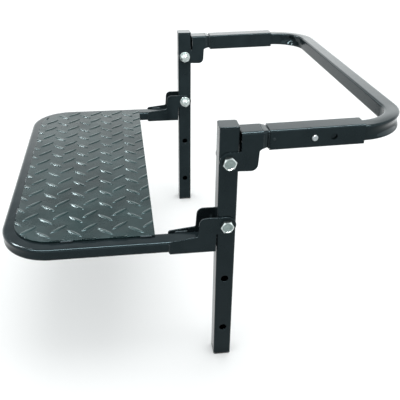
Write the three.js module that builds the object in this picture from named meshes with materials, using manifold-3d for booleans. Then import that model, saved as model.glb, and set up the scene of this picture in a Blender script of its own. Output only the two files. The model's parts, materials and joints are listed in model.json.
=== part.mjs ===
// A hang-on step for a vehicle. Two upright posts carry a chequer-plate step on one side and a
// telescoping hook frame on the other. The step folds up and the hook frame folds down, each about
// a pair of bolts through the posts. Millimetres, +Z up. +Y points at the vehicle, +X to the right
// of a person who faces it. The origin is at the middle of the bottom of the whole object's box.
import * as THREE from "three";
import { mergeVertices } from "three/addons/utils/BufferGeometryUtils.js";
import Module from "manifold-3d";

const wasm = await Module();
wasm.setup();

// Driving dimensions. Inside the script y = 0 is the middle of the posts and z = 0 their feet.
const gap = 0.3; // between pieces that touch on the real object
const holeSides = 18; // sides of a bolt's hole, shank or collar
const past = 30; // how far a cutting body reaches past what it cuts

const post = { size: 30, wall: 2, corner: 3, height: 440, centre: 290 };
const endPlateThickness = 2.5;
const footPlug = { flange: 2.5, skirt: 14, wall: 2 };
const bolt = { radius: 6, flats: 19, head: 7.5, hole: 6.3, length: 55 };
const boltHeights = [63, 169, 275, 385]; // three heights for the step, and the hook frame's pivot
const nut = { hex: 8.5, height: 12, collarRadius: 8.4 };
const washer = { radius: 12, thickness: 2.5 };
const spacer = { radius: 9, bore: 6.4 };

const bracketPlate = 2.5;
const cheekInside = post.size / 2 + 0.35; // from the post's middle to a cheek's inner face
const cheekOutside = cheekInside + bracketPlate;
const bracket = { tongueRadius: 15, lobeReach: 44, lobeSlope: 1.5, lobeCorner: 11, bend: 4 };
const upperArm = { start: 18.6, web: 46, reach: 50.3, depthAtEnd: 29.4, depthAtLobe: 29.4, lobeDrop: 1.8 };
const lowerArm = { start: 16.6, web: 49.5, reach: 91, depthAtEnd: 25.8, depthAtLobe: 30.5, lobeDrop: 0 };
const hookRise = 1.3; // degrees by which the hook frame tips up from level
const hookDrop = 16.1; // from the top of the upper bracket to the middle of the hook bar

const sleeve = { size: 32, wall: 3.2, corner: 3, start: 61, end: 207 };
const neck = { taper: 8, endWidth: 28, endHeight: 27, spigot: 25, spigotEnd: 76, tail: 22, bore: 19 };
const snap = { holes: [129, 159], holeRadius: 5.25, buttonRadius: 4.9, proud: 2.6 };
const clip = { strip: 1, width: 12, tail: 36, bend: 5, start: 8, farEnd: 2, play: 0.4 };
const buttonEdge = { height: 1.2, inset: 1.6 };

// The two bent tubes: each is a U whose arms lie in the planes of the posts. Bends are outside radii.
const hookBar = { width: 25, height: 25, wall: 1.5, corner: 3, bend: 84, armStart: 78, reach: 292 };
const stepBar = { width: 30, height: 20, wall: 1.5, corner: 4, bend: 82, armStart: 22, reach: 360 };
const plate = { thickness: 3, back: 112.5, front: 341, half: 284, corner: 66 };

// Places that follow from them.
const [, , lowerBolt, upperBolt] = boltHeights;
const hookHeight = upperBolt + upperArm.web - hookDrop;
const stepHeight = lowerBolt - lowerArm.web + bracketPlate + gap + stepBar.height / 2;

// Materials.
const gloss = new THREE.MeshStandardMaterial({ color: 0x15191b, roughness: 0.28, metalness: 0.1 });
const tread = new THREE.MeshStandardMaterial({ color: 0x2b3232, roughness: 0.42, metalness: 0.2 });
const zinc = new THREE.MeshStandardMaterial({ color: 0xb9bfc1, roughness: 0.3, metalness: 1 });
const spring = new THREE.MeshStandardMaterial({ color: 0x9aa0a3, roughness: 0.35, metalness: 1 });
const plastic = new THREE.MeshStandardMaterial({ color: 0x17181a, roughness: 0.6, metalness: 0 });

// Directions in which an outline is extruded: an outline's x and y become the first two axes.
const axis = { x: new THREE.Vector3(1, 0, 0), y: new THREE.Vector3(0, 1, 0), z: new THREE.Vector3(0, 0, 1) };
const alongX = new THREE.Matrix4().makeBasis(axis.y, axis.z, axis.x);
const alongY = new THREE.Matrix4().makeBasis(axis.z, axis.x, axis.y);

// A closed geometry as a solid that can be joined and cut.
function solid(geometry) {
  const bare = geometry.index ? geometry.toNonIndexed() : geometry.clone();
  bare.deleteAttribute("normal");
  bare.deleteAttribute("uv");
  const merged = mergeVertices(bare, 1e-4);
  return new wasm.Manifold(
    new wasm.Mesh({
      numProp: 3,
      vertProperties: merged.attributes.position.array,
      triVerts: new Uint32Array(merged.index.array),
    }),
  );
}

// The geometry of a solid, with flat faces.
function geometryOf(body) {
  const mesh = body.getMesh();
  const indexed = new THREE.BufferGeometry();
  const points = [];
  for (let i = 0; i < mesh.numVert; i++)
    points.push(...mesh.vertProperties.subarray(i * mesh.numProp, i * mesh.numProp + 3));
  indexed.setAttribute("position", new THREE.Float32BufferAttribute(points, 3));
  indexed.setIndex(new THREE.BufferAttribute(mesh.triVerts, 1));
  const flat = indexed.toNonIndexed();
  flat.computeVertexNormals();
  return flat;
}

function box(x0, x1, y0, y1, z0, z1) {
  const g = new THREE.BoxGeometry(x1 - x0, y1 - y0, z1 - z0);
  return solid(g.translate((x0 + x1) / 2, (y0 + y1) / 2, (z0 + z1) / 2));
}

// A rod along X from x0 to x1, round or, with six sides, a hexagon with a corner on top.
function rodX(x0, x1, radius, sides, y = 0, z = 0) {
  const g = new THREE.CylinderGeometry(radius, radius, x1 - x0, sides);
  return solid(g.rotateZ(Math.PI / 2).translate((x0 + x1) / 2, y, z));
}

function roundedSquare(width, height, corner) {
  const s = new THREE.Shape();
  const w = width / 2 - corner;
  const h = height / 2 - corner;
  s.absarc(w, h, corner, 0, Math.PI / 2);
  s.absarc(-w, h, corner, Math.PI / 2, Math.PI);
  s.absarc(-w, -h, corner, Math.PI, 1.5 * Math.PI);
  s.absarc(w, -h, corner, 1.5 * Math.PI, 2 * Math.PI);
  return s;
}

// A square tube along +Z, or along another axis with a matrix.
function squareTube(size, wall, corner, length, turn = new THREE.Matrix4()) {
  const profile = roundedSquare(size, size, corner);
  profile.holes.push(roundedSquare(size - 2 * wall, size - 2 * wall, Math.max(corner - wall, 0.8)));
  const g = new THREE.ExtrudeGeometry(profile, { depth: length, bevelEnabled: false, curveSegments: 2 });
  return solid(g.applyMatrix4(turn));
}

// The plan of a bar bent to a U that opens towards -Y, shrunk all round by inset, and cut by trim
// less at its open ends.
function barPlan(bar, inset, trim) {
  const s = new THREE.Shape();
  const half = post.centre + bar.width / 2 - inset;
  const inner = post.centre - bar.width / 2 + inset;
  const open = bar.armStart + trim;
  const end = bar.reach - inset;
  const outerBend = bar.bend - inset;
  const innerBend = bar.bend - bar.width + inset;
  const turn = end - outerBend;
  s.moveTo(half, open);
  s.lineTo(half, turn);
  s.absarc(half - outerBend, turn, outerBend, 0, Math.PI / 2);
  s.absarc(-half + outerBend, turn, outerBend, Math.PI / 2, Math.PI);
  s.lineTo(-half, open);
  s.lineTo(-inner, open);
  s.lineTo(-inner, turn);
  s.absarc(-inner + innerBend, turn, innerBend, Math.PI, Math.PI / 2, true);
  s.absarc(inner - innerBend, turn, innerBend, Math.PI / 2, 0, true);
  s.lineTo(inner, open);
  return s;
}

// A hollow bar bent to that U, its middle at height z. Its long outer edges are rounded.
function bentBar(bar, z) {
  const curve = { curveSegments: 7, bevelSegments: 2 };
  const skin = new THREE.ExtrudeGeometry(barPlan(bar, bar.corner, bar.corner), {
    ...curve,
    depth: bar.height - 2 * bar.corner,
    bevelSize: bar.corner,
    bevelThickness: bar.corner,
  });
  const bore = new THREE.ExtrudeGeometry(barPlan(bar, bar.wall, -past), {
    ...curve,
    depth: bar.height - 2 * bar.wall,
    bevelEnabled: false,
  });
  const low = z - bar.height / 2;
  const outside = solid(skin.translate(0, 0, low + bar.corner));
  return outside.subtract(solid(bore.translate(0, 0, low + bar.wall)));
}

// Posts and their ends.
function postTube() {
  const length = post.height - endPlateThickness - footPlug.flange - 2 * gap;
  const body = squareTube(post.size, post.wall, post.corner, length);
  let cut = body.translate([0, 0, footPlug.flange + gap]);
  for (const z of boltHeights) cut = cut.subtract(rodX(-past, past, bolt.hole, holeSides, 0, z));
  return cut;
}

function endPlate() {
  const g = new THREE.ExtrudeGeometry(roundedSquare(post.size, post.size, post.corner), {
    depth: endPlateThickness,
    bevelEnabled: false,
    curveSegments: 3,
  });
  return solid(g.translate(0, 0, post.height - endPlateThickness));
}

function footPlugBody() {
  const flange = new THREE.ExtrudeGeometry(roundedSquare(post.size, post.size, post.corner), {
    depth: footPlug.flange,
    bevelEnabled: false,
    curveSegments: 3,
  });
  const outside = post.size - 2 * post.wall - 2 * gap;
  const skirt = squareTube(outside, footPlug.wall, 2.5, footPlug.skirt);
  return solid(flange).add(skirt.translate([0, 0, footPlug.flange - 0.5]));
}

// Pivot fixings, drawn for the right-hand post: the bolt's head is outboard and its nut inboard.
const headSeat = cheekOutside + gap;
const washerSeat = -cheekOutside - gap;
const nutSeat = washerSeat - washer.thickness - gap;
const hexRadius = bolt.flats / Math.sqrt(3);

function pivotBolt(z) {
  const head = rodX(headSeat, headSeat + bolt.head, hexRadius, 6, 0, z);
  return head.add(rodX(headSeat - bolt.length, headSeat + 1, bolt.radius, holeSides, 0, z));
}

function lockNut(z) {
  const hex = rodX(nutSeat - nut.hex, nutSeat, hexRadius, 6, 0, z);
  const collar = rodX(nutSeat - nut.height, nutSeat - 1, nut.collarRadius, holeSides, 0, z);
  return hex.add(collar).subtract(rodX(nutSeat - past, nutSeat + past, bolt.hole, holeSides, 0, z));
}

function ring(x0, x1, radius, bore, z) {
  return rodX(x0, x1, radius, holeSides, 0, z).subtract(rodX(x0 - past, x1 + past, bore, holeSides, 0, z));
}

const flatWasher = (z) => ring(washerSeat - washer.thickness, washerSeat, washer.radius, bolt.hole, z);

function crushSpacer(z) {
  const half = post.size / 2 - post.wall - gap;
  return ring(-half, half, spacer.radius, spacer.bore, z);
}

// A bracket is a channel that straddles the post. Its cheeks end in round tongues at the bolt and
// its web stops against the post. Drawn with the bolt at the origin, the arm towards +Y, web on top.
function cheekOutline(arm) {
  const b = bracket;
  const s = new THREE.Shape();
  const turn = b.lobeReach - b.lobeCorner;
  s.moveTo(0, -b.tongueRadius);
  const bottom = -b.tongueRadius - arm.lobeDrop;
  s.lineTo(turn, bottom);
  s.absarc(turn, bottom + b.lobeCorner, b.lobeCorner, -Math.PI / 2, 0);
  s.lineTo(b.lobeReach + b.lobeSlope, arm.web - arm.depthAtLobe);
  s.lineTo(arm.reach, arm.web - arm.depthAtEnd);
  s.lineTo(arm.reach, arm.web);
  s.lineTo(arm.start, arm.web);
  s.lineTo(arm.start, b.tongueRadius);
  s.lineTo(0, b.tongueRadius);
  s.absarc(0, 0, b.tongueRadius, Math.PI / 2, 1.5 * Math.PI);
  return s;
}

function bracketBody(arm) {
  const width = 2 * cheekOutside;
  const plan = { depth: width, bevelEnabled: false, curveSegments: 8 };
  const side = new THREE.ExtrudeGeometry(cheekOutline(arm), plan);
  const block = solid(side.applyMatrix4(alongX).translate(-cheekOutside, 0, 0));
  // Rounds the two long folds between the web and the cheeks.
  const tall = 2 * (arm.web + past);
  const round = new THREE.ExtrudeGeometry(roundedSquare(tall, width, bracket.bend), {
    depth: arm.reach + 2 * past,
    bevelEnabled: false,
    curveSegments: 4,
  });
  const folded = block.intersect(solid(round.applyMatrix4(alongY).translate(0, -past, -past)));
  const top = arm.web - bracketPlate;
  const inside = box(-cheekInside, cheekInside, -past, arm.reach + past, -past, top);
  return folded.subtract(inside).subtract(rodX(-past, past, bolt.hole, holeSides));
}

// The collar that reduces the upper bracket to the sleeve, with the spigot that the sleeve fits.
function neckBody() {
  const start = upperArm.reach + gap;
  const end = start + neck.taper;
  const collar = new THREE.BoxGeometry(2 * cheekOutside, neck.taper, upperArm.depthAtEnd);
  const p = collar.attributes.position;
  for (let i = 0; i < p.count; i++) {
    if (p.getY(i) < 0) continue;
    p.setX(i, (Math.sign(p.getX(i)) * neck.endWidth) / 2);
    p.setZ(i, (Math.sign(p.getZ(i)) * neck.endHeight) / 2);
  }
  const middle = upperBolt + upperArm.web - upperArm.depthAtEnd / 2;
  const taper = solid(collar.translate(0, (start + end) / 2, middle));
  const half = neck.spigot / 2;
  const back = start - neck.tail;
  const spigot = box(-half, half, back, neck.spigotEnd, hookHeight - half, hookHeight + half);
  const bore = neck.bore / 2;
  const front = neck.spigotEnd + past;
  const hole = box(-bore, bore, back - past, front, hookHeight - bore, hookHeight + bore);
  return taper.add(spigot).subtract(hole);
}

function sleeveBody() {
  const length = sleeve.end - sleeve.start;
  let body = squareTube(sleeve.size, sleeve.wall, sleeve.corner, length, alongY);
  body = body.translate([0, sleeve.start, hookHeight]);
  for (const y of snap.holes) body = body.subtract(rodX(8, past, snap.holeRadius, holeSides, y, hookHeight));
  return body;
}

// A spring strip folded into a hairpin inside the hook tube, with the button on its outer leg.
function snapClip() {
  const y = snap.holes[0];
  const outer = hookBar.width / 2 - hookBar.wall - clip.play; // outer face of the leg with the button
  const far = -hookBar.width / 2 + hookBar.wall + clip.play + 0.1;
  const s = new THREE.Shape();
  const bendX = outer - clip.bend;
  s.moveTo(outer, y - clip.start);
  s.lineTo(outer, y + clip.tail);
  s.absarc(bendX, y + clip.tail, clip.bend, 0, Math.PI);
  s.lineTo(far, y + clip.farEnd);
  s.lineTo(far + clip.strip, y + clip.farEnd);
  s.lineTo(bendX - clip.bend + clip.strip, y + clip.tail);
  s.absarc(bendX, y + clip.tail, clip.bend - clip.strip, Math.PI, 0, true);
  s.lineTo(outer - clip.strip, y - clip.start);
  const flat = new THREE.ExtrudeGeometry(s, { depth: clip.width, bevelEnabled: false, curveSegments: 6 });
  const strip = solid(flat.translate(0, 0, hookHeight - clip.width / 2));
  const tip = sleeve.size / 2 + snap.proud;
  const rim = tip - buttonEdge.height;
  const shank = rodX(outer - clip.strip / 2, rim, snap.buttonRadius, holeSides, y, hookHeight);
  const face = snap.buttonRadius - buttonEdge.inset;
  const crown = new THREE.CylinderGeometry(face, snap.buttonRadius, buttonEdge.height, holeSides);
  const dome = solid(crown.rotateZ(-Math.PI / 2).translate((rim + tip) / 2, y, hookHeight));
  return strip.add(shank).add(dome);
}

function hookTube() {
  let body = bentBar(hookBar, hookHeight);
  for (const side of [-1, 1]) {
    const x = side * (post.centre + hookBar.width / 2);
    const inner = x - side * 2 * hookBar.wall;
    const hole = rodX(Math.min(inner, x + side), Math.max(inner, x + side), snap.holeRadius, holeSides);
    body = body.subtract(hole.translate([0, snap.holes[0], hookHeight]));
  }
  return body;
}

// The step's frame and its plate are drawn with their front towards +Y, and turned round later.
function treadPlate() {
  const s = new THREE.Shape();
  const x = plate.half - plate.corner;
  const y = plate.front - plate.corner;
  s.moveTo(plate.half, plate.back);
  s.absarc(x, y, plate.corner, 0, Math.PI / 2);
  s.absarc(-x, y, plate.corner, Math.PI / 2, Math.PI);
  s.lineTo(-plate.half, plate.back);
  const g = new THREE.ExtrudeGeometry(s, {
    depth: plate.thickness,
    bevelEnabled: false,
    curveSegments: 8,
  });
  return solid(g.translate(0, 0, stepHeight + stepBar.height / 2 + gap));
}

// The scene graph.
const model = new THREE.Group();

function place(parent, name, body, material) {
  const mesh = new THREE.Mesh(geometryOf(body), material);
  mesh.name = name;
  parent.add(mesh);
  return mesh;
}

const lowerBracket = bracketBody(lowerArm).rotate([180, 0, 0]).translate([0, 0, lowerBolt]);
const sideParts = [
  ["post", postTube(), gloss],
  ["post_end_plate", endPlate(), gloss],
  ["post_foot_plug", footPlugBody(), plastic],
  ["crush_spacer_upper", crushSpacer(upperBolt), zinc],
  ["crush_spacer_lower", crushSpacer(lowerBolt), zinc],
  ["pivot_bolt_upper", pivotBolt(upperBolt), zinc],
  ["pivot_bolt_lower", pivotBolt(lowerBolt), zinc],
  ["washer_upper", flatWasher(upperBolt), zinc],
  ["washer_lower", flatWasher(lowerBolt), zinc],
  ["lock_nut_upper", lockNut(upperBolt), zinc],
  ["lock_nut_lower", lockNut(lowerBolt), zinc],
  ["step_bracket", lowerBracket, gloss],
];
const hookSideParts = [
  ["hook_bracket", bracketBody(upperArm).translate([0, 0, upperBolt]), gloss],
  ["sleeve_neck", neckBody(), gloss],
  ["sleeve", sleeveBody(), gloss],
  ["snap_clip", snapClip(), spring],
];

// The hook frame rises a little from its pivots, so its pieces are turned together about them.
const hookFrame = new THREE.Group();
hookFrame.rotation.x = THREE.MathUtils.degToRad(hookRise);
hookFrame.position.z = upperBolt;
const hookDrawing = new THREE.Group();
hookDrawing.position.z = -upperBolt;
hookFrame.add(hookDrawing);
model.add(hookFrame);

for (const [parent, parts] of [
  [model, sideParts],
  [hookDrawing, hookSideParts],
])
  for (const [label, side] of [
    ["right", 1],
    ["left", -1],
  ]) {
    const half = new THREE.Group();
    half.position.x = side * post.centre;
    half.scale.x = side;
    for (const [name, body, material] of parts) place(half, name + "_" + label, body, material);
    parent.add(half);
  }
place(hookDrawing, "hook_tube", hookTube(), gloss);

const stepFrame = new THREE.Group();
stepFrame.rotation.z = Math.PI;
place(stepFrame, "step_frame_tube", bentBar(stepBar, stepHeight), gloss);
place(stepFrame, "tread_plate", treadPlate(), tread);
model.add(stepFrame);

const bounds = new THREE.Box3().setFromObject(model, true);
model.position.y = -(bounds.min.y + bounds.max.y) / 2;

export default model;
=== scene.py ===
"""The looks of a hang-on step for a vehicle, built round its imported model.

Metres, +Z up, +Y towards the vehicle. Most pieces are drawn once, on the right-hand post's own
frame (x outboard from the post's middle, y towards the vehicle, z up from the ground), and are
then placed on both sides."""

import json
import math

import bmesh
import bpy
from mathutils import Matrix, Vector, noise


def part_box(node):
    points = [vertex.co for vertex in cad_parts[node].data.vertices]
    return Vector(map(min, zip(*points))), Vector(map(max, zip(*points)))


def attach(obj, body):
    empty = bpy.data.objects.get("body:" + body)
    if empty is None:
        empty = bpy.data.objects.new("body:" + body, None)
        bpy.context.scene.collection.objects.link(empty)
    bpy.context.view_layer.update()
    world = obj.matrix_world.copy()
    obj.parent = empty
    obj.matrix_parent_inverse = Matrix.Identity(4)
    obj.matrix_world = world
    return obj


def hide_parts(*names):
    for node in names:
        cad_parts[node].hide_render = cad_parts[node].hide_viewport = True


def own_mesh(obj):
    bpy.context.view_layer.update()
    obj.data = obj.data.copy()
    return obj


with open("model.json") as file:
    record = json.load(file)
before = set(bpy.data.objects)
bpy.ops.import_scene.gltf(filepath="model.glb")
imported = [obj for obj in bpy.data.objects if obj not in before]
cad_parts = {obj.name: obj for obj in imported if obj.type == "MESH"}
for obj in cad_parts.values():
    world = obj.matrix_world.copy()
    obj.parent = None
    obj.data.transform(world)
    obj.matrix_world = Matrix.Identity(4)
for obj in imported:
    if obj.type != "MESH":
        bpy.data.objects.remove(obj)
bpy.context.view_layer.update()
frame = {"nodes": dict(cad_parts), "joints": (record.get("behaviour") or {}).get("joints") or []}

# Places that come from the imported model.
mm = 0.001
joints = {joint["name"]: joint for joint in frame["joints"]}
hook_pivot = Vector(joints["hook_fold"]["pos_m"])
step_pivot = Vector(joints["step_fold"]["pos_m"])
slide_axis = Vector(joints["hook_slide"]["axis"])
rise = math.atan2(slide_axis.z, slide_axis.y)  # how far the hook frame tips up from level


def middle(node, axis):
    low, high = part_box(node)
    return (low[axis] + high[axis]) / 2


def size(node, axis):
    low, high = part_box(node)
    return high[axis] - low[axis]


post_x = middle("post_right", 0)
post_y = middle("post_right", 1)
post_half = size("post_right", 0) / 2
post_low, post_high = (corner.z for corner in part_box("post_right"))
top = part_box("post_end_plate_right")[1].z
cheek_out = size("step_bracket_right", 0) / 2
frame_low, frame_high = (corner.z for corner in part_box("step_frame_tube"))
frame_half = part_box("step_frame_tube")[1].x
frame_front = post_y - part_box("step_frame_tube")[0].y
frame_back = post_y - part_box("step_frame_tube")[1].y
plate_low, plate_high = (corner.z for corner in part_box("tread_plate"))
plate_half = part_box("tread_plate")[1].x
plate_front, plate_back = (corner.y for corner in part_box("tread_plate"))

# Sizes that the boxes don't give. Shank and hole are radii.
bracket_steel = 2.5 * mm
post_wall, post_corner = 2 * mm, 3 * mm
gap = 0.3 * mm  # between pieces that sit on each other
bolt_heights = (63 * mm, 169 * mm, step_pivot.z, hook_pivot.z)
bolt = {"shank": 6 * mm, "hole": 6.3 * mm, "flats": 19 * mm, "head": 7.5 * mm, "pitch": 1.75 * mm}

# The channels, from the bolt's middle. Each has a web that starts past the post and cheeks that are
# so deep at the arm's end and at the lobe. The lobe drops so far below the round tongue.
tongue, lobe_reach, lobe_slope, lobe_corner = 15 * mm, 44 * mm, 1.5 * mm, 11 * mm
upper_arm = {
    "start": 18.6 * mm,
    "web": 46 * mm,
    "reach": 50.3 * mm,
    "end": 29.4 * mm,
    "lobe": 29.4 * mm,
    "drop": 1.8 * mm,
}
lower_arm = {
    "start": 16.6 * mm,
    "web": 49.5 * mm,
    "reach": 91 * mm,
    "end": 25.8 * mm,
    "lobe": 30.5 * mm,
    "drop": 0,
}
bar_z = hook_pivot.z + 29.9 * mm  # middle of the hook tube, before the hook frame is tipped up
bar_half = size("hook_tube", 0) / 2 - post_x
tube_wall, tube_corner = 1.5 * mm, 3 * mm
sleeve_half, sleeve_wall, sleeve_start, sleeve_end = 16 * mm, 3.2 * mm, 61 * mm, 207 * mm
spigot, spigot_end = 25 * mm, 76 * mm  # the neck's inner end, which the sleeve is pushed over
button_y, spare_hole_y, button_hole = 129 * mm, 159 * mm, 5.25 * mm
button_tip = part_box("snap_clip_right")[1].x - post_x
plate_bend = 66 * mm


# Materials. Every one is a node tree on the piece's own coordinates.
def material(name):
    made = bpy.data.materials.new(name)
    made.use_nodes = True
    tree = made.node_tree
    shader = tree.nodes["Principled BSDF"]
    return made, tree, shader


def add(tree, kind, **values):
    node = tree.nodes.new(kind)
    for key, value in values.items():
        if key in node.inputs:
            node.inputs[key].default_value = value
        else:
            setattr(node, key, value)
    return node


def noise_of(tree, scale, detail=2.0, stretch=None, roughness=0.5):
    """A noise value on the object's coordinates. stretch squeezes it along one or more axes."""
    place = add(tree, "ShaderNodeTexCoord")
    texture = add(tree, "ShaderNodeTexNoise", Scale=scale, Detail=detail, Roughness=roughness)
    if stretch:
        mapping = add(tree, "ShaderNodeMapping", Scale=stretch)
        tree.links.new(place.outputs["Object"], mapping.inputs["Vector"])
        tree.links.new(mapping.outputs["Vector"], texture.inputs["Vector"])
    else:
        tree.links.new(place.outputs["Object"], texture.inputs["Vector"])
    return texture.outputs["Fac"]


def between(tree, value, low, high, start=0.0, end=1.0):
    """Maps value from start..end to low..high."""
    limits = {"From Min": start, "From Max": end, "To Min": low, "To Max": high}
    ranged = add(tree, "ShaderNodeMapRange", **limits)
    tree.links.new(value, ranged.inputs["Value"])
    return ranged.outputs["Result"]


def two_colours(tree, value, first, second, start=0.3, end=0.7):
    ramp = add(tree, "ShaderNodeValToRGB")
    ramp.color_ramp.elements[0].position = start
    ramp.color_ramp.elements[0].color = (*first, 1)
    ramp.color_ramp.elements[1].position = end
    ramp.color_ramp.elements[1].color = (*second, 1)
    tree.links.new(value, ramp.inputs["Fac"])
    return ramp.outputs["Color"]


def bump(tree, shader, *layers):
    """Stacks bumps: each layer is a value and the height in metres that it stands for."""
    last = None
    for value, height in layers:
        node = add(tree, "ShaderNodeBump", Strength=1.0, Distance=height)
        tree.links.new(value, node.inputs["Height"])
        if last:
            tree.links.new(last.outputs["Normal"], node.inputs["Normal"])
        last = node
    tree.links.new(last.outputs["Normal"], shader.inputs["Normal"])


def powder_coat(name, dark, light, smooth, dull, peel, waves):
    """Baked powder paint: slight mottle, fine orange peel and slow waves, each with its height."""
    made, tree, shader = material(name)
    mottle = noise_of(tree, 38, 4)
    tree.links.new(two_colours(tree, mottle, dark, light), shader.inputs["Base Color"])
    patches = noise_of(tree, 21, 5, roughness=0.65)
    tree.links.new(between(tree, patches, smooth, dull, 0.3, 0.7), shader.inputs["Roughness"])
    shader.inputs["IOR"].default_value = 1.45
    shader.inputs["Specular IOR Level"].default_value = 0.2
    shader.inputs["Specular Tint"].default_value = (0.66, 0.92, 1, 1)
    bump(tree, shader, (noise_of(tree, 30, 1), waves), (noise_of(tree, 620, 2), peel))
    return made


def worn_and_highlit_tread(name):
    """The same paint, satin, paler on the crests of the lugs: partly rubbed wear, partly a painted
    highlight that stands in for the glints on the lugs.
    """
    made, tree, shader = material(name)
    place = add(tree, "ShaderNodeTexCoord")
    split = add(tree, "ShaderNodeSeparateXYZ")
    tree.links.new(place.outputs["Object"], split.inputs["Vector"])
    # Wear and painted highlight: a band at the top of each lug, broken up by noise, is mixed to a paler
    # colour.
    crest = between(tree, split.outputs["Z"], 0, 1, plate_high + 0.6 * mm, plate_high + 1.15 * mm)
    rub = noise_of(tree, 90, 4, roughness=0.7)
    crest_wear_and_highlight = add(tree, "ShaderNodeMath", operation="MULTIPLY")
    tree.links.new(crest, crest_wear_and_highlight.inputs[0])
    tree.links.new(between(tree, rub, 0.35, 1, 0.35, 0.65), crest_wear_and_highlight.inputs[1])
    base = two_colours(tree, noise_of(tree, 17, 5), (0.0015, 0.0036, 0.0038), (0.004, 0.009, 0.0092))
    mix = add(tree, "ShaderNodeMix", data_type="RGBA")
    tree.links.new(crest_wear_and_highlight.outputs["Value"], mix.inputs["Factor"])
    tree.links.new(base, mix.inputs[6])
    # The crest colour: partly wear, partly a painted highlight.
    mix.inputs[7].default_value = (0.016, 0.024, 0.024, 1)
    tree.links.new(mix.outputs[2], shader.inputs["Base Color"])
    dull = between(tree, noise_of(tree, 14, 5, roughness=0.6), 0.17, 0.36, 0.35, 0.65)
    shiny = add(tree, "ShaderNodeMath", operation="MULTIPLY_ADD")
    tree.links.new(crest_wear_and_highlight.outputs["Value"], shiny.inputs[0])
    shiny.inputs[1].default_value = -0.1
    tree.links.new(dull, shiny.inputs[2])
    tree.links.new(shiny.outputs["Value"], shader.inputs["Roughness"])
    shader.inputs["IOR"].default_value = 1.45
    shader.inputs["Specular IOR Level"].default_value = 0.24
    shader.inputs["Specular Tint"].default_value = (0.66, 0.94, 1, 1)
    bump(tree, shader, (noise_of(tree, 25, 2), 0.3 * mm), (noise_of(tree, 800, 3), 0.02 * mm))
    return made


def plated(name, dark, light, smooth, dull, stretch=(1, 1, 1)):
    """Plated metal with fine scratches and faint clouds. stretch draws the scratches out."""
    made, tree, shader = material(name)
    clouds = noise_of(tree, 160, 5, roughness=0.7)
    tree.links.new(two_colours(tree, clouds, dark, light), shader.inputs["Base Color"])
    shader.inputs["Metallic"].default_value = 1.0
    streaks = noise_of(tree, 900, 3, stretch)
    tree.links.new(between(tree, streaks, smooth, dull, 0.3, 0.7), shader.inputs["Roughness"])
    bump(tree, shader, (streaks, 0.012 * mm), (noise_of(tree, 420, 2), 0.02 * mm))
    return made


def moulded(name, dark, light, rough, grain):
    """Plastic with a fine grain of a given height."""
    made, tree, shader = material(name)
    tree.links.new(two_colours(tree, noise_of(tree, 130, 3), dark, light), shader.inputs["Base Color"])
    tree.links.new(between(tree, noise_of(tree, 300, 2), rough, rough + 0.12), shader.inputs["Roughness"])
    bump(tree, shader, (noise_of(tree, 1500, 2), grain))
    return made


gloss = powder_coat(
    "gloss_paint", (0.0024, 0.0038, 0.0044), (0.0042, 0.0062, 0.007), 0.09, 0.18, 0.006 * mm, 0.08 * mm
)
weld_paint = powder_coat(
    "paint_on_weld", (0.006, 0.0075, 0.0085), (0.012, 0.014, 0.015), 0.2, 0.34, 0.03 * mm, 0.1 * mm
)
tread = worn_and_highlit_tread("tread_paint")
zinc = plated("bright_zinc", (0.3, 0.345, 0.34), (0.6, 0.65, 0.64), 0.14, 0.28)
# Painted shade: a darker, rougher copy of the zinc, for the faces of the bolt heads.
shaded_face_zinc = plated("shaded_face_zinc", (0.13, 0.17, 0.165), (0.26, 0.31, 0.3), 0.2, 0.34)
spring = plated("spring_steel", (0.22, 0.25, 0.26), (0.42, 0.45, 0.46), 0.22, 0.34, (1, 9, 1))
plastic = moulded("black_plastic", (0.012, 0.012, 0.013), (0.022, 0.022, 0.023), 0.42, 0.03 * mm)
nylon = moulded("nylon", (0.62, 0.64, 0.6), (0.74, 0.75, 0.7), 0.35, 0.02 * mm)


# Mesh making.
def arc(cx, cy, radius, start, end, steps=8):
    """Points on an arc, from start to end in degrees."""
    turns = [math.radians(start + (end - start) * k / steps) for k in range(steps + 1)]
    return [(cx + radius * math.cos(t), cy + radius * math.sin(t)) for t in turns]


def rounded(width, height, corner, steps=6):
    """A rectangle about the origin with round corners."""
    w, h = width / 2 - corner, height / 2 - corner
    return (
        arc(w, h, corner, 0, 90, steps)
        + arc(-w, h, corner, 90, 180, steps)
        + arc(-w, -h, corner, 180, 270, steps)
        + arc(w, -h, corner, 270, 360, steps)
    )


def from_bmesh(bm, name):
    bmesh.ops.recalc_face_normals(bm, faces=bm.faces)
    mesh = bpy.data.meshes.new(name)
    bm.to_mesh(mesh)
    bm.free()
    made = bpy.data.objects.new(name, mesh)
    bpy.context.collection.objects.link(made)
    return made


def loft(rings, name="loft", ring_shut=False):
    """A solid through rings of as many points each. It ends in flat caps, or joins its last ring to
    its first with ring_shut."""
    bm = bmesh.new()
    rows = [[bm.verts.new(point) for point in ring] for ring in rings]
    pairs = list(zip(rows, rows[1:]))
    if ring_shut:
        pairs.append((rows[-1], rows[0]))
    for a, b in pairs:
        for i in range(len(a)):
            j = (i + 1) % len(a)
            bm.faces.new((a[i], a[j], b[j], b[i]))
    if not ring_shut:
        bm.faces.new(rows[0][::-1])
        bm.faces.new(rows[-1])
    return from_bmesh(bm, name)


AXES = {
    "x": lambda a, b, t: (t, a, b),
    "y": lambda a, b, t: (a, t, b),
    "z": lambda a, b, t: (a, b, t),
}


def prism(outline, low, high, axis="z", name="prism"):
    """An outline in the other two axes, in X, Y, Z order, drawn out along axis."""
    return loft([[AXES[axis](a, b, t) for a, b in outline] for t in (low, high)], name)


def lathe(profile, y=0.0, z=0.0, steps=48, name="lathe"):
    """Circles about a line along X: profile is a list of x and radius."""
    turns = [2 * math.pi * k / steps for k in range(steps)]
    rings = [[(x, y + r * math.cos(t), z + r * math.sin(t)) for t in turns] for x, r in profile]
    return loft(rings, name)


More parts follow.
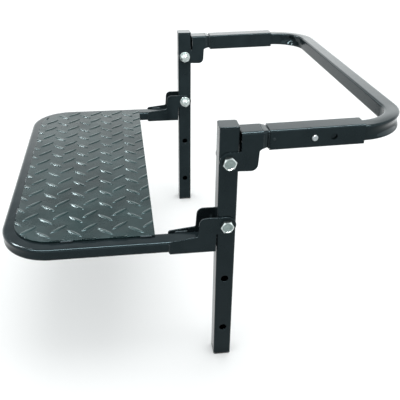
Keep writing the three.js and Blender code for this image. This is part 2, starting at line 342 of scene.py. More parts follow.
def settle(body):
    """Applies a piece's modifiers."""
    graph = bpy.context.evaluated_depsgraph_get()
    mesh = bpy.data.meshes.new_from_object(body.evaluated_get(graph))
    body.modifiers.clear()
    body.data = mesh
    return body


def carve(body, tool, how="DIFFERENCE"):
    cut = body.modifiers.new("cut", "BOOLEAN")
    cut.operation = how
    cut.solver = "EXACT"
    cut.object = tool
    settle(body)
    bpy.data.objects.remove(tool)
    return body


def drill(body, y, z, radius, low=-50 * mm, high=50 * mm):
    return carve(body, lathe([(low, radius), (high, radius)], y, z, 40))


def soften(body, width, angle=32, segments=3):
    """Rounds the edges that are sharper than angle."""
    edge = body.modifiers.new("edges", "BEVEL")
    edge.width = width
    edge.segments = segments
    edge.limit_method = "ANGLE"
    edge.angle_limit = math.radians(angle)
    edge.use_clamp_overlap = True
    return settle(body)


def join(name, *bodies):
    bm = bmesh.new()
    for body in bodies:
        bm.from_mesh(body.data)
        bpy.data.objects.remove(body)
    mesh = bpy.data.meshes.new(name)
    bm.to_mesh(mesh)
    bm.free()
    made = bpy.data.objects.new(name, mesh)
    bpy.context.collection.objects.link(made)
    return made


def finish_piece(piece, body, look, nodes=(), angle=35):
    """Gives a piece its material and smooth shading, and puts it on its body."""
    piece.data.materials.clear()
    piece.data.materials.append(look)
    piece.data.polygons.foreach_set("use_smooth", [True] * len(piece.data.polygons))
    piece.data.set_sharp_from_angle(angle=math.radians(angle))
    weigh = piece.modifiers.new("even_shading", "WEIGHTED_NORMAL")
    weigh.keep_sharp = True
    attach(piece, body)
    if nodes:
        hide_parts(*nodes)
    return piece


tip_up = (
    Matrix.Translation((0, hook_pivot.y, hook_pivot.z))
    @ Matrix.Rotation(rise, 4, "X")
    @ Matrix.Translation((0, -hook_pivot.y, -hook_pivot.z))
)


def turned(body, matrix):
    """Moves a mesh by matrix, and turns its faces round again if the matrix mirrors it."""
    bm = bmesh.new()
    bm.from_mesh(body.data)
    bmesh.ops.transform(bm, matrix=matrix, verts=bm.verts)
    if matrix.determinant() < 0:
        bmesh.ops.reverse_faces(bm, faces=bm.faces)
    bm.to_mesh(body.data)
    bm.free()
    return body


def both_sides(draft, name, body, look, node=None, tipped=False, angle=35):
    """Places a piece drawn on the right-hand post, and its mirror image on the left-hand one.
    node is the CAD node that it stands for, without its side. body may hold a side too."""
    placed = []
    for label, side in (("right", 1), ("left", -1)):
        matrix = Matrix.Translation((side * post_x, post_y, 0)) @ Matrix.Diagonal((side, 1, 1, 1))
        if tipped:
            matrix = tip_up @ matrix
        piece = bpy.data.objects.new(name + "_" + label, draft.data.copy())
        bpy.context.collection.objects.link(piece)
        turned(piece, matrix)
        nodes = (node + "_" + label,) if node else ()
        placed.append(finish_piece(piece, body.format(side=label), look, nodes, angle))
    bpy.data.objects.remove(draft)
    return placed


def bead(path, radius, pitch=2.6 * mm):
    """A weld along a path: a low round rope with a ripple for each pool of weld."""
    sides, lean, rings_per_pool = 10, 0.35, 5
    points = [Vector(p) for p in path]
    lengths = [0.0]
    for a, b in zip(points, points[1:]):
        lengths.append(lengths[-1] + (b - a).length)
    count = max(8, int(lengths[-1] / pitch * rings_per_pool))
    rings = []
    for k in range(count + 1):
        s = lengths[-1] * k / count
        i = max(j for j in range(len(points) - 1) if lengths[j] <= s + 1e-9)
        share = (s - lengths[i]) / max(lengths[i + 1] - lengths[i], 1e-9)
        centre = points[i].lerp(points[i + 1], share)
        along = (points[i + 1] - points[i]).normalized()
        across = along.cross(Vector((0.3, 0.5, 0.81))).normalized()
        up = across.cross(along)
        phase = (s / pitch) % 1.0
        wander = noise.noise(centre * 180) * 0.18
        fade = min(1.0, 0.25 + 3.0 * min(k, count - k) / count * lengths[-1] / (6 * mm))
        r = radius * (0.86 + 0.2 * math.sin(math.pi * phase) + wander) * fade
        ring = []
        for n in range(sides):
            t = 2 * math.pi * n / sides
            back = along * (-lean * r * math.cos(t))
            ring.append(centre + across * (r * math.cos(t)) + up * (r * math.sin(t)) + back)
        rings.append(ring)
    return loft(rings, "bead")


def around(width, height, corner, y, z, steps=5):
    """A closed path in a plane across Y, round a rounded rectangle about (0, z)."""
    loop = [(x, y, z + dz) for x, dz in rounded(width, height, corner, steps)]
    return loop + loop[:1]


# Posts.
def post_outline(inset=0.0):
    """The post's section, drawn in by inset on each side."""
    return rounded(2 * (post_half - inset), 2 * (post_half - inset), post_corner, 8)


def post():
    body = prism(post_outline(), post_low, post_high)
    inside = post_half - post_wall
    carve(body, prism(rounded(2 * inside, 2 * inside, 1.2 * mm, 4), post_low - 1, post_high + 1))
    for z in bolt_heights:
        drill(body, 0, z, bolt["hole"])
    return soften(body, 0.45 * mm)


def end_plate():
    """A flat cap with a rolled edge, on a thin line of weld that was ground back."""
    low = post_high + gap
    roll = 1.1 * mm
    steps = 4
    rings = [
        [(x, y, low - gap) for x, y in post_outline(0.6 * mm)],
        [(x, y, low) for x, y in post_outline()],
        [(x, y, low + 0.05 * (top - low)) for x, y in post_outline()],
    ]
    for k in range(steps + 1):
        t = math.radians(90 * k / steps)
        z = top - roll + roll * math.sin(t)
        rings.append([(x, y, z) for x, y in post_outline(roll * (1 - math.cos(t)))])
    return loft(rings, "end_plate")


def foot_plug():
    """A plastic plug: a dished flange with a lip, and a skirt with a step up inside the tube."""
    flange_top = post_low - gap
    skirt = 2 * (post_half - 2.4 * mm)
    skirt_top = 16 * mm

    def flange(inset, z):
        return [(x, y, z) for x, y in post_outline(inset)]

    def inner(share, z):
        return [(share * x, share * y, z) for x, y in rounded(skirt, skirt, 2 * mm, 8)]

    rings = [
        flange(9 * mm, 0.9 * mm),
        flange(5 * mm, 0.7 * mm),
        flange(2.6 * mm, 0),
        flange(0.8 * mm, 0),
        flange(0.2 * mm, 0.35 * mm),
        flange(0, 1.0 * mm),
        flange(0, flange_top - 0.3 * mm),
        flange(0.3 * mm, flange_top),
        inner(1, flange_top),
        inner(1, skirt_top - 0.6 * mm),
        inner(0.95, skirt_top),
        inner(0.86, skirt_top),
        inner(0.86, flange_top),
    ]
    return loft(rings, "foot_plug")


both_sides(post(), "square_post", "legs", gloss, "post")
both_sides(end_plate(), "post_cap", "legs", gloss, "post_end_plate")
both_sides(foot_plug(), "foot_plug", "legs", plastic, "post_foot_plug")


# Bolts, nuts and washers. Heads are outboard and nuts inboard.
head_seat = cheek_out + gap
washer_seat = -cheek_out - gap
washer_steel = size("washer_upper_right", 0)
washer_radius = size("washer_upper_right", 2) / 2
nut_seat = washer_seat - washer_steel - gap
bolt_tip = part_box("pivot_bolt_upper_right")[0].x - post_x
flats = bolt["flats"] - 0.1 * mm
nut_hex, nut_length = 8.5 * mm, 12 * mm
TURNS = 72


def hex_ring(x, turn_of_hex, z, flat_edge=None, slope=0.0):
    """A ring of a hexagon at x. Beyond flat_edge from the middle, it leans along X by slope, as a
    hexagon that was turned to a cone does."""
    sixth = math.pi / 3
    ring = []
    for k in range(TURNS):
        t = 2 * math.pi * k / TURNS
        r = flats / 2 / math.cos((t - turn_of_hex) % sixth - sixth / 2)
        lean = slope * max(0.0, r - flat_edge) if flat_edge else 0.0
        ring.append((x + lean, r * math.cos(t), z + r * math.sin(t)))
    return ring


def circle(x, r, z):
    turns = [2 * math.pi * k / TURNS for k in range(TURNS)]
    return [(x, r * math.cos(t), z + r * math.sin(t)) for t in turns]


def pivot_bolt(z, turn_of_hex):
    """A hex bolt: a chamfered head with a shallow recess in its face, a plain shank and a thread."""
    face = 0.9 * flats / 2
    outer = head_seat + bolt["head"]
    recess, foot = 0.6 * mm, 0.5 * mm
    thread_start = nut_seat - 5 * mm
    depth = 0.9 * mm
    rings = [
        circle(outer - recess, 1.5 * mm, z),
        circle(outer - recess, 0.9 * face, z),
        circle(outer, 0.95 * face, z),
        circle(outer, face, z),
        hex_ring(outer - 0.1 * mm, turn_of_hex, z, face, -0.58),
        hex_ring(head_seat + foot, turn_of_hex, z),
        circle(head_seat + foot, 0.95 * flats / 2, z),
        circle(head_seat, 0.94 * flats / 2, z),
        circle(head_seat, bolt["shank"], z),
        circle(thread_start + 0.5 * mm, bolt["shank"], z),
    ]
    x = thread_start
    while x > bolt_tip:
        ring = []
        for k in range(TURNS):
            t = 2 * math.pi * k / TURNS
            phase = ((x / bolt["pitch"]) - t / (2 * math.pi)) % 1.0
            groove = depth * (1 - min(1.0, abs(2 * phase - 1) * 1.25))
            taper = max(0.0, 1.4 * mm - (x - bolt_tip)) * 0.75
            r = min(bolt["shank"] - groove, bolt["shank"] - taper)
            ring.append((x, r * math.cos(t), z + r * math.sin(t)))
        rings.append(ring)
        x -= bolt["pitch"] / 7
    rings.append(circle(bolt_tip, bolt["shank"] - 1.3 * mm, z))
    return loft(rings, "pivot_bolt")


def head_face(z):
    """The face inside the bright rim of a bolt's head, in a darker zinc: painted shade that makes the rim
    read as a highlight.
    """
    outer = head_seat + bolt["head"]
    r = 0.89 * 0.9 * bolt["flats"] / 2
    profile = [
        (outer - 0.9 * mm, r),
        (outer - 0.5 * mm, r),
        (outer - 0.38 * mm, 0.93 * r),
        (outer - 0.34 * mm, 0.5 * r),
        (outer - 0.33 * mm, 0.1 * r),
    ]
    return lathe(profile, 0, z, 40, "head_face")


def lock_nut(z, turn_of_hex):
    """A lock nut: chamfered hexagon, domed collar, and a crimped rim over the nylon."""
    face = 0.95 * flats / 2
    hex_end = nut_seat - nut_hex
    end = nut_seat - nut_length
    rings = [
        circle(nut_seat, 1.02 * bolt["shank"], z),
        circle(nut_seat, face, z),
        hex_ring(nut_seat - 0.1 * mm, turn_of_hex, z, face, -0.55),
        hex_ring(hex_end + 0.1 * mm, turn_of_hex, z, face, 0.55),
        circle(hex_end, 8.5 * mm, z),
        circle(hex_end - 0.9 * mm, 8.35 * mm, z),
        circle(end + 1.3 * mm, 8.3 * mm, z),
        circle(end + 0.45 * mm, 8.0 * mm, z),
        circle(end, 7.4 * mm, z),
        circle(end + 0.05 * mm, 6.9 * mm, z),
        circle(end + 0.55 * mm, 6.75 * mm, z),
        circle(end + 1.6 * mm, 6.75 * mm, z),
        circle(end + 1.6 * mm, 1.02 * bolt["shank"], z),
    ]
    return loft(rings, "lock_nut", ring_shut=True)


def nylon_ring(z):
    """The ring inside the nut's collar that grips the thread."""
    start = nut_seat - nut_length + 0.5 * mm
    inner, outer = 1.03 * bolt["shank"], 6.65 * mm
    rings = [
        circle(start + 0.12 * mm, inner, z),
        circle(start, (inner + outer) / 2, z),
        circle(start + 0.12 * mm, outer, z),
        circle(start + 1.0 * mm, outer, z),
        circle(start + 1.0 * mm, inner, z),
    ]
    return loft(rings, "nylon_ring", ring_shut=True)


def washer(z):
    """Stamped: the outer edge is rolled on one side and has a small burr line on the other."""
    x = washer_seat
    rings = [
        circle(x, bolt["hole"] + 0.15 * mm, z),
        circle(x, washer_radius - 0.25 * mm, z),
        circle(x - 0.25 * mm, washer_radius, z),
        circle(x - washer_steel + 0.7 * mm, washer_radius, z),
        circle(x - washer_steel + 0.2 * mm, washer_radius - 0.25 * mm, z),
        circle(x - washer_steel, washer_radius - 0.8 * mm, z),
        circle(x - washer_steel, bolt["hole"] + 0.3 * mm, z),
        circle(x - washer_steel + 0.3 * mm, bolt["hole"], z),
    ]
    return loft(rings, "washer", ring_shut=True)


for level, z, head_turn, nut_turn in (("upper", hook_pivot.z, 12, 20), ("lower", step_pivot.z, 0, 41)):
    hex_bolt = pivot_bolt(z, math.radians(head_turn))
    both_sides(hex_bolt, "hex_bolt_" + level, "legs", zinc, "pivot_bolt_" + level, angle=28)
    # The head's face takes the darker zinc, a painted shade.
    both_sides(head_face(z), "head_face_" + level, "legs", shaded_face_zinc)
    nylock = lock_nut(z, math.radians(nut_turn))
    both_sides(nylock, "nylock_" + level, "legs", zinc, "lock_nut_" + level, angle=28)
    both_sides(nylon_ring(z), "nylon_ring_" + level, "legs", nylon)
    both_sides(washer(z), "flat_washer_" + level, "legs", zinc, "washer_" + level)
    for label in ("right", "left"):
        spacer = frame["nodes"]["crush_spacer_" + level + "_" + label]
        spacer.data.materials.clear()
        spacer.data.materials.append(zinc)


# Brackets: steel channels folded over the posts.
def cheek_outline(arm):
    """A cheek seen from its side, with the bolt at the origin, the arm towards +y and the web on top."""
    turn = lobe_reach - lobe_corner
    end_corner = 4.5 * mm
    end_low = arm["web"] - arm["end"]
    inner = 2.5 * mm
    lobe_low = arm["web"] - arm["lobe"]
    bottom = -tongue - arm["drop"]
    start = arm["start"]
    return (
        arc(0, 0, tongue, 90, 270, 24)
        + arc(turn, bottom + lobe_corner, lobe_corner, 270, 360, 12)
        + arc(lobe_reach + lobe_slope + inner, lobe_low - inner, inner, 180, 95, 6)
        + arc(arm["reach"] - end_corner, end_low + end_corner, end_corner, 275, 360, 8)
        + [(arm["reach"], arm["web"]), (start, arm["web"]), (start, tongue + 2 * mm)]
        + arc(start - 2 * mm, tongue + 2 * mm, 2 * mm, 0, -90, 4)
    )


def bracket(arm):
    """A channel of sheet with its folds along the arm, drawn with the bolt at the origin."""
    fold = 4 * mm
    body = prism(cheek_outline(arm), -cheek_out, cheek_out, "x")
    tall = 2 * arm["web"] + 40 * mm
    wide = 2 * cheek_out
    skin = [(x, z + arm["web"] - tall / 2) for x, z in rounded(wide, tall, fold, 8)]
    carve(body, prism(skin, -40 * mm, 140 * mm, "y"), "INTERSECT")
    wide -= 2 * bracket_steel
    inner_top = arm["web"] - bracket_steel
    hollow = [(x, z + inner_top - tall / 2) for x, z in rounded(wide, tall, fold - bracket_steel, 6)]
    carve(body, prism(hollow, -50 * mm, 150 * mm, "y"))
    drill(body, 0, 0, bolt["hole"])
    return soften(body, 0.8 * mm, 38)


upper = turned(bracket(upper_arm), Matrix.Translation((0, 0, hook_pivot.z)))
both_sides(upper, "hook_channel", "hook_arms", gloss, "hook_bracket", tipped=True)
upside_down = Matrix.Translation((0, 0, step_pivot.z)) @ Matrix.Rotation(math.pi, 4, "X")
lower = turned(bracket(lower_arm), upside_down)
both_sides(lower, "step_channel", "step", gloss, "step_bracket")


# The hook frame: necks, sleeves, snap clips and the bent tube that slides in the sleeves.
def neck():
    """A collar that tapers from the channel to a groove, with a spigot that holds the sleeve."""
    start = upper_arm["reach"] + gap
    high = hook_pivot.z + upper_arm["web"]
    centre = high - upper_arm["end"] / 2

    def ring(y, width, height, corner, z=centre):
        return [(x, y, z + dz) for x, dz in rounded(width, height, corner, 6)]

    wide, tall = 2 * cheek_out, upper_arm["end"]
    rings = [
        ring(start - 20 * mm, spigot, spigot, 2 * mm, bar_z),
        ring(start, spigot, spigot, 2 * mm, bar_z),
        ring(start, wide - 3 * mm, tall - 2 * mm, 3.5 * mm),
        ring(start + 0.4 * mm, wide - 0.8 * mm, tall - 0.6 * mm, 3.8 * mm),
        ring(start + 1.4 * mm, wide - 1.2 * mm, tall - 0.6 * mm, 4 * mm),
        ring(start + 7.0 * mm, 28.6 * mm, 27.4 * mm, 3.2 * mm),
        ring(start + 8.0 * mm, 27.4 * mm, 26.4 * mm, 3 * mm),
        ring(start + 8.4 * mm, spigot, spigot, 2.4 * mm, bar_z),
        ring(spigot_end, spigot, spigot, 2.4 * mm, bar_z),
    ]
    return loft(rings, "neck")


def sleeve():
    """A square tube with two holes in its outer side for the snap button."""
    across = 2 * sleeve_half
    skin = [(x, z + bar_z) for x, z in rounded(across, across, tube_corner, 8)]
    body = prism(skin, sleeve_start, sleeve_end, "y")
    across -= 2 * sleeve_wall
    bore = [(x, z + bar_z) for x, z in rounded(across, across, 1 * mm, 4)]
    carve(body, prism(bore, 0, 2 * sleeve_end, "y"))
    for y in (button_y, spare_hole_y):
        drill(body, y, bar_z, button_hole, 5 * mm)
    return soften(body, 0.5 * mm)


def plug_weld():
    """The flat pool of weld that fills a hole in the sleeve's side."""
    profile = [
        (sleeve_half - 1 * mm, 2.4 * mm),
        (sleeve_half + 0.12 * mm, 2.4 * mm),
        (sleeve_half + 0.4 * mm, 1.7 * mm),
        (sleeve_half + 0.42 * mm, 0.7 * mm),
    ]
    return lathe(profile, sleeve_start + 6.5 * mm, bar_z + 2 * mm, 24, "plug_weld")


both_sides(neck(), "neck_collar", "hook_arms", gloss, "sleeve_neck", tipped=True)
both_sides(sleeve(), "locking_sleeve", "hook_arms", gloss, "sleeve", tipped=True)
both_sides(plug_weld(), "plug_weld", "hook_arms", weld_paint, tipped=True)


def snap_button():
    """The button: a round stud with a rolled rim and a faint dish, riveted through the spring strip."""
    tip = button_tip
    stud = 4.85 * mm
    profile = [
        (bar_half - 4.6 * mm, 2.6 * mm),
        (bar_half - 3.6 * mm, 3.2 * mm),
        (bar_half - 3.4 * mm, stud),
        (tip - 1.5 * mm, stud),
        (tip - 0.75 * mm, 4.6 * mm),
        (tip - 0.2 * mm, 3.95 * mm),
        (tip, 3.2 * mm),
        (tip - 0.12 * mm, 2.3 * mm),
        (tip - 0.22 * mm, 0.8 * mm),
    ]
    return lathe(profile, button_y, bar_z, 48, "snap_button")


def hairpin():
    """The strip: a leg along the tube's outer wall, a round bend, and a leg across to the far wall."""
    outer = bar_half - 1.9 * mm
    far = -bar_half + 2.0 * mm
    thick, tail, bend = 1 * mm, 36 * mm, 5 * mm
    y = button_y
    middle_x = outer - bend
    outline = (
        [(outer, y - 8 * mm)]
        + arc(middle_x, y + tail, bend, 0, 180, 16)
        + [(far, y + 2 * mm), (far + thick, y + 2 * mm)]
        + arc(middle_x, y + tail, bend - thick, 180, 0, 16)
        + [(outer - thick, y - 8 * mm)]
    )
    return soften(prism(outline, bar_z - 6 * mm, bar_z + 6 * mm), 0.2 * mm, 40, 2)


both_sides(snap_button(), "snap_button", "snap_clip_{side}", spring, "snap_clip", tipped=True)
for strip, side in zip(both_sides(hairpin(), "clip_strip", "hook", spring, tipped=True), (1, -1)):
    label = "right" if side > 0 else "left"
    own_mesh(strip)


def u_path(half, open_end, reach, bend):
    """Stations along the middle of a U in plan: place, direction outwards from the U, and how far
    into a bend it is, from 0 to 1. The U opens towards -y and its far side is at reach."""
    turn = reach - bend
    straight, curve = 6, 36
    rows = []
    for k in range(straight):
        rows.append((half, open_end + (turn - open_end) * k / straight, 0.0, None))
    for k in range(curve + 1):
        rows.append((half - bend, turn, 90 * k / curve, k / curve))
    for k in range(1, 10):
        rows.append(((half - bend) * (1 - 2 * k / 10), reach, 90.0, None))
    for k in range(curve + 1):
        rows.append((-half + bend, turn, 90 + 90 * k / curve, k / curve))
    for k in range(straight - 1, -1, -1):
        rows.append((-half, open_end + (turn - open_end) * k / straight, 180.0, None))
    stations = []
    for x, y, angle, share in rows:
        out = Vector((math.cos(math.radians(angle)), math.sin(math.radians(angle)), 0))
        place = Vector((x, y, 0))
        if share is not None:
            place += out * bend
        stations.append((place, out, share))
    return stations


def dense(outline, longest):
    """The same closed outline with points added so that no side is longer than longest."""
    points = []
    for (a, b), (c, d) in zip(outline, outline[1:] + outline[:1]):
        pieces = max(1, math.ceil(math.hypot(c - a, d - b) / longest))
        points += [(a + (c - a) * k / pieces, b + (d - b) * k / pieces) for k in range(pieces)]
    return points


def bent_bar(stations, width, height, corner, wall, marks, name):
    """A tube through the stations. marks says how the bends deform it: the dish of the outer wall,
    the pinch of the inner wall, the swell of the top and bottom, and how narrow the dish and pinch are."""
    skins = []
    for inset in (0.0, wall):
        w, h = width - 2 * inset, height - 2 * inset
        outline = dense(rounded(w, h, max(corner - inset, 0.6 * mm), 4), 2.2 * mm)
        rings = []
        for place, out, share in stations:
            ring = []
            lift = math.sin(math.pi * share) ** 2 if share is not None else 0.0
            nip = math.exp(-(((share - 0.5) / 0.1) ** 2)) if share is not None else 0.0
            for u, v in outline:
                over = math.cos(math.pi * min(1.0, abs(v) / (h / 2)) / 2) ** marks["narrow"]
                side = math.cos(math.pi * min(1.0, abs(u) / (w / 2)) / 2)
                near_out = max(0.0, u / (w / 2)) ** 3
                near_in = max(0.0, -u / (w / 2)) ** 3
                push = -marks["dish"] * lift**0.6 * over * near_out
                push += marks["pinch"] * (0.3 * lift + 0.7 * nip) * over * near_in
                swell = marks["swell"] * lift * side * (1 if v > 0 else -1)
                ring.append(place + out * (u + push) + Vector((0, 0, v + swell)))
            rings.append(ring)
        skins.append(rings)
    bm_rings = skins[0] + skins[1][::-1]
    return loft(bm_rings, name, ring_shut=True)


hook_start, hook_reach, hook_bend = 78 * mm, 292 * mm, 84 * mm
hook_stations = u_path(post_x, hook_start, hook_reach - bar_half, hook_bend - bar_half)
hook_marks = {"dish": 4.6 * mm, "pinch": 8.5 * mm, "swell": 0.9 * mm, "narrow": 1.7}
hook_width = 2 * bar_half
hook_tube = bent_bar(hook_stations, hook_width, hook_width, tube_corner, tube_wall, hook_marks, "hook_bar")
turned(hook_tube, tip_up @ Matrix.Translation((0, post_y, bar_z)))
for side in (1, -1):
    low, high = sorted((side * (post_x + 5 * mm), side * (post_x + 20 * mm)))
    hole = lathe([(low, button_hole), (high, button_hole)], button_y + post_y, bar_z, 40)
    carve(hook_tube, turned(hole, tip_up))
finish_piece(hook_tube, "hook", gloss, ("hook_tube",), 40)


# The step: frame tube, chequer plate with raised lugs, and welds.
bar_width, bar_height = 2 * (frame_half - post_x), frame_high - frame_low
step_reach, step_bend = frame_front, 82 * mm
step_stations = u_path(post_x, frame_back, step_reach - bar_width / 2, step_bend - bar_width / 2)
step_marks = {"dish": 1.2 * mm, "pinch": 3.5 * mm, "swell": 0.0, "narrow": 1.3}
step_bar = bent_bar(step_stations, bar_width, bar_height, 4 * mm, tube_wall, step_marks, "step_bar")
turn_round = Matrix.Rotation(math.pi, 4, "Z")
turned(step_bar, Matrix.Translation((0, post_y, (frame_low + frame_high) / 2)) @ turn_round)
finish_piece(step_bar, "step", gloss, ("step_frame_tube",), 40)

# Lugs stand in rows along X. Each column holds two rows, one for each slant.
lug_length, lug_width, lug_height = 35 * mm, 8.4 * mm, 1.2 * mm
lug_pitch, lug_column, lug_shift = 43.4 * mm, 49.6 * mm, 16 * mm
lug_angle = math.radians(42)  # from +Y
lug_offset = (263.6 * mm + plate_half + lug_pitch / 2) % lug_pitch
columns = range(-1, 7)


def on_plate(x, y, inset=0.0):
    """The nearest point of the plate to (x, y): itself, or a point on the plate's edge."""
    half, corner = plate_half - inset, plate_bend - inset
    front, back = plate_front + inset, plate_back - inset
    x = max(-half, min(half, x))
    y = max(front, min(back, y))
    cx, cy = half - corner, front + corner
    dx, dy = abs(x) - cx, cy - y
    if dx > 0 and dy > 0 and math.hypot(dx, dy) > corner:
        short = corner / math.hypot(dx, dy)
        x = math.copysign(cx + dx * short, x)
        y = cy - dy * short
    return x, y


def lug_outline(scale, steps=14):
    """A lens: two arcs that meet in points, slightly blunt."""
    half, wide = lug_length / 2 * scale[0], lug_width / 2 * scale[1]
    points = []
    for k in range(2 * steps):
        t = math.pi * k / steps
        points.append((half * math.cos(t), wide * math.sin(t) * (1 - 0.22 * math.cos(t) ** 2)))
    return points


def lug(cx, cy, lean):
    """One raised lug. lean is +1 or -1, the way it slants."""
    levels = [
        ((1, 1), -1.2 * mm),
        ((1, 1), 0.0),
        ((0.965, 0.86), 0.28 * lug_height),
        ((0.91, 0.62), 0.66 * lug_height),
        ((0.84, 0.38), 0.9 * lug_height),
        ((0.7, 0.16), lug_height),
    ]
    angle = math.pi / 2 - lean * lug_angle
    turn_c, turn_s = math.cos(angle), math.sin(angle)
    rings = []
    outside = 0
    for scale, z in levels:
        ring = []
        for a, b in lug_outline(scale):
            x, y = cx + a * turn_c - b * turn_s, cy + a * turn_s + b * turn_c
            px, py = on_plate(x, y, 0.3 * mm)
            outside += math.hypot(px - x, py - y) > 0.05 * mm
            ring.append((px, py, plate_high + z))
        rings.append(ring)
    if outside > 0.8 * len(levels) * len(rings[0]):
        return None
    return rings


def tread_plate():
    """The plate with two round front corners, and its lugs in the same mesh."""
    bottom = arc(plate_half - plate_bend, plate_front + plate_bend, plate_bend, 0, -90, 24)
    bottom += arc(-plate_half + plate_bend, plate_front + plate_bend, plate_bend, -90, -180, 24)
    outline = [(plate_half, plate_back)] + bottom + [(-plate_half, plate_back)]
    body = soften(prism(outline, plate_low, plate_high), 0.5 * mm)
    bm = bmesh.new()
    bm.from_mesh(body.data)
    bpy.data.objects.remove(body)
    rows = int(2 * plate_half / lug_pitch) + 3
    for column in columns:
        for slanted in (0, 1):
            cy = plate_front + (column + slanted / 2) * lug_column
            for row in range(rows):
                cx = -plate_half - lug_pitch / 2 + row * lug_pitch + (0 if slanted == 0 else -lug_shift)
                rings = lug(cx + lug_offset, cy, -1 if slanted else 1)
                if rings is None:
                    continue
                rows_of = [[bm.verts.new(p) for p in ring] for ring in rings]
                for a, b in zip(rows_of, rows_of[1:]):
                    for i in range(len(a)):
                        j = (i + 1) % len(a)
                        bm.faces.new((a[i], a[j], b[j], b[i]))
                bm.faces.new(rows_of[-1])
                bm.faces.new(rows_of[0][::-1])
    bmesh.ops.recalc_face_normals(bm, faces=bm.faces)
    mesh = bpy.data.meshes.new("chequer_plate")
    bm.to_mesh(mesh)
    bm.free()
    made = bpy.data.objects.new("chequer_plate", mesh)
    bpy.context.collection.objects.link(made)
    return made


finish_piece(tread_plate(), "step", tread, ("tread_plate",), 50)


# Welds.
def plate_welds():
    """Short runs of weld along the plate's edge, where it sits on the frame."""
    drafts = []
    run, thick = 20 * mm, 1.8 * mm
    z = plate_low + 1.1 * mm
    edge = plate_half + 0.5 * mm
    front = plate_front - 0.5 * mm
    for side in (1, -1):
        for start in (plate_back - 24 * mm, plate_back - 150 * mm):
            drafts.append(bead([(side * edge, start, z), (side * edge, start + run, z)], thick))
    for centre in (-180 * mm, -60 * mm, 60 * mm, 180 * mm):
        drafts.append(bead([(centre - run / 2, front, z), (centre + run / 2, front, z)], thick))
    return join("plate_weld", *drafts)


def step_channel_weld():
    """Weld beside the frame tube where it enters the channel, and along its top inside the channel."""
    y = -lower_arm["reach"] - 0.2 * mm
    z_start, z_end = frame_low - 1 * mm, step_pivot.z - lower_arm["web"] + lower_arm["end"] - 6 * mm
    z_top = frame_high + 0.2 * mm
    drafts = []
    for side in (1, -1):
        x = side * (bar_width / 2 + 0.6 * mm)
        drafts.append(bead([(x, y, z_start), (x, y, z_end)], 1.5 * mm))
    for side in (1, -1):
        x = side * (bar_width / 2 - 0.4 * mm)
        drafts.append(bead([(x, -80 * mm, z_top), (x, -58 * mm, z_top)], 1.9 * mm))
    return join("step_channel_weld", *drafts)


def hook_welds():
    """Weld round the neck where it meets the channel and where the sleeve starts."""
    start = upper_arm["reach"] + gap + 0.2 * mm
    wide, tall = 2 * cheek_out - 2.4 * mm, upper_arm["end"] - 2 * mm
    centre = hook_pivot.z + upper_arm["web"] - upper_arm["end"] / 2
    first = bead(around(wide, tall, 4 * mm, start, centre), 1.3 * mm)
    second = bead(around(26.4 * mm, 25.6 * mm, 3 * mm, sleeve_start - 1 * mm, bar_z), 1.5 * mm)
    return join("hook_weld", first, second)


def cap_weld():
    """The line of weld between the post and its cap."""
    across = 2 * post_half - 1.4 * mm
    path = [(x, y, post_high + gap / 2) for x, y in rounded(across, across, 3 * mm, 5)]
    return bead(path + path[:1], 0.75 * mm, 2 * mm)


finish_piece(plate_welds(), "step", weld_paint, (), 60)
both_sides(step_channel_weld(), "channel_weld", "step", weld_paint, angle=60)
both_sides(hook_welds(), "neck_weld", "hook_arms", weld_paint, tipped=True, angle=60)
both_sides(cap_weld(), "cap_weld", "legs", weld_paint, angle=60)


# Stage: floor, sky, lights and camera.
def backdrop():
    """The floor. It is lit by the sky and the softbox only, so that the strips leave it evenly pale."""
    made, tree, shader = material("pale_floor")
    shader.inputs["Base Color"].default_value = (0.95, 0.95, 0.95, 1)
    shader.inputs["Roughness"].default_value = 0.9
    shader.inputs["Specular IOR Level"].default_value = 0.1
    reach = 9.0
    points = [(-reach, -reach), (reach, -reach), (reach, reach), (-reach, reach)]
    bm = bmesh.new()
    bm.faces.new([bm.verts.new((x, y, 0)) for x, y in points])
    floor = from_bmesh(bm, "floor")
    floor.location.z = -0.2 * mm
    floor.data.materials.append(made)
    kept_off = bpy.data.collections.new("kept_off_the_floor")
    kept_off.objects.link(floor)
    kept_off.collection_objects[0].light_linking.link_state = "EXCLUDE"
    return kept_off


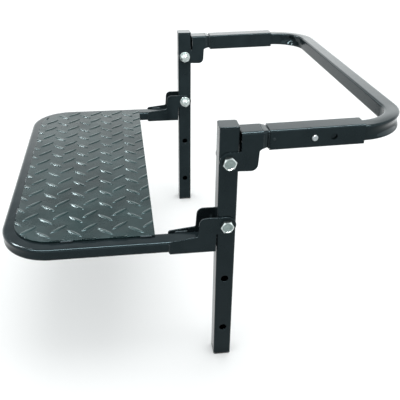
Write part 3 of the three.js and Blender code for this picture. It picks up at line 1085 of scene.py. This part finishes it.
def sky():
    """White up to some 17 degrees above the horizon, and dim from 30 degrees up to overhead."""
    world = bpy.data.worlds.new("studio")
    bpy.context.scene.world = world
    world.use_nodes = True
    tree = world.node_tree
    place = add(tree, "ShaderNodeTexCoord")
    split = add(tree, "ShaderNodeSeparateXYZ")
    tree.links.new(place.outputs["Generated"], split.inputs["Vector"])
    ramp = add(tree, "ShaderNodeValToRGB")
    stops = ramp.color_ramp.elements
    stops[0].position, stops[0].color = 0.0, (0.96, 0.99, 1, 1)
    stops[1].position, stops[1].color = 0.62, (0.28, 0.29, 0.29, 1)
    for position, level in ((0.3, 0.98), (0.41, 0.7), (0.49, 0.28)):
        stop = stops.new(position)
        stop.color = (level, 1.02 * level, 1.02 * level, 1)
    tree.links.new(split.outputs["Z"], ramp.inputs["Fac"])
    background = tree.nodes["Background"]
    tree.links.new(ramp.outputs["Color"], background.inputs["Color"])
    background.inputs["Strength"].default_value = 2.6


def soft_light(name, place, target, along, width, length, power, receivers=None):
    """A rectangle of light at a place, facing a target, its long side lying along a direction."""
    data = bpy.data.lights.new(name, "AREA")
    data.shape = "RECTANGLE"
    data.size, data.size_y = width, length
    data.energy = power
    lamp = bpy.data.objects.new(name, data)
    bpy.context.collection.objects.link(lamp)
    lamp.light_linking.receiver_collection = receivers
    back = (Vector(place) - Vector(target)).normalized()
    across = Vector(along).cross(back).normalized()
    turned_to = Matrix((across, back.cross(across), back)).transposed().to_4x4()
    lamp.matrix_world = Matrix.Translation(place) @ turned_to


def camera():
    """Stands off the near end of the step, looking along it and down."""
    yaw, pitch, roll = 0.1432, 0.5120, 0.0115
    place = Vector((1.0619, post_y - 0.1522, 0.7525))
    forward = Vector((-math.cos(yaw) * math.cos(pitch), math.sin(yaw) * math.cos(pitch), -math.sin(pitch)))
    right = Vector((math.sin(yaw), math.cos(yaw), 0))
    up = right.cross(forward)
    level_right, level_up = right.copy(), up.copy()
    right = math.cos(roll) * level_right + math.sin(roll) * level_up
    up = -math.sin(roll) * level_right + math.cos(roll) * level_up
    data = bpy.data.cameras.new("camera")
    data.lens, data.sensor_width = 51.55, 36
    made = bpy.data.objects.new("camera", data)
    bpy.context.collection.objects.link(made)
    made.matrix_world = Matrix(
        (
            (right.x, up.x, -forward.x, place.x),
            (right.y, up.y, -forward.y, place.y),
            (right.z, up.z, -forward.z, place.z),
            (0, 0, 0, 1),
        )
    )
    bpy.context.scene.camera = made


kept_off = backdrop()
sky()
soft_light("softbox_overhead", (0, 0, 3), (0, 0, 0), (0, 1, 0), 2, 2, 24)
soft_light("strip_overhead", (0.5, -0.2, 1.9), (0.2, -0.2, 0), (0, 1, 0), 0.3, 2.4, 150, kept_off)
soft_light("lug_light", (-1.1, -1.35, 1.95), (-0.2, -0.25, 0.25), (1, -1, 0), 0.14, 1.2, 56, kept_off)
camera()
bpy.context.scene.view_settings.view_transform = "Standard"
